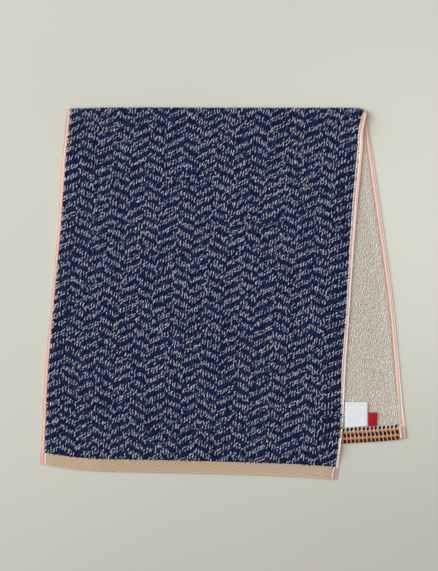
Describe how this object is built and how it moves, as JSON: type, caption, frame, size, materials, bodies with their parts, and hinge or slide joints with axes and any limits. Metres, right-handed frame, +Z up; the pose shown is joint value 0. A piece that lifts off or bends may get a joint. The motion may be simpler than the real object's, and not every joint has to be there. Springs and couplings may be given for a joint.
{
  "type": "folded face towel",
  "caption": "Terry face towel folded once and laid flat, with a zigzag pile face outside, a plain pile face inside, flat woven hems, striped selvedges and small sewn-in labels.",
  "frame": {"origin": "on the table, under the middle of the folded towel's box", "axes": "+X to the right along the fold, +Y from the hems towards the fold, +Z up from the table"},
  "size_m": [0.417, 0.4236, 0.009],
  "materials": {
    "terry": "cotton loop pile, matte",
    "label_cloth": "fine woven ribbon, matte",
    "tab_cloth": "fine woven ribbon, matte"
  },
  "bodies": {
    "root": {"towel": "terry", "label": "label_cloth", "tab": "tab_cloth"}
  },
  "joints": []
}
